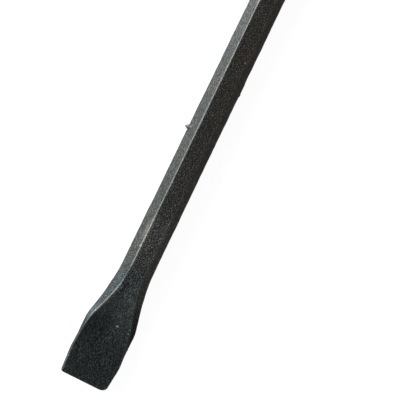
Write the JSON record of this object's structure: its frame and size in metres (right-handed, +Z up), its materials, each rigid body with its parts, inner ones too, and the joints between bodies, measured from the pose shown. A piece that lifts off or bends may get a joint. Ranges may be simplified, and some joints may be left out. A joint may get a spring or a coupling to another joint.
{
  "type": "spudger",
  "caption": "Slim six-sided hand stick with a thin straight-ended prying blade at one end and a fine hooked point at the other.",
  "frame": {"origin": "centre of the bounding box in X and Y, on the flat that the shank lies on", "axes": "+X along the tool towards the straight-ended blade, +Y across the blade towards the hook's mouth, +Z up from the flat that the tool lies on"},
  "size_m": [0.146, 0.0096, 0.0052],
  "materials": {
    "filled_nylon": "matte black glass-filled nylon with a fine grain"
  },
  "bodies": {
    "root": {"spudger_body": "filled_nylon"}
  },
  "joints": []
}
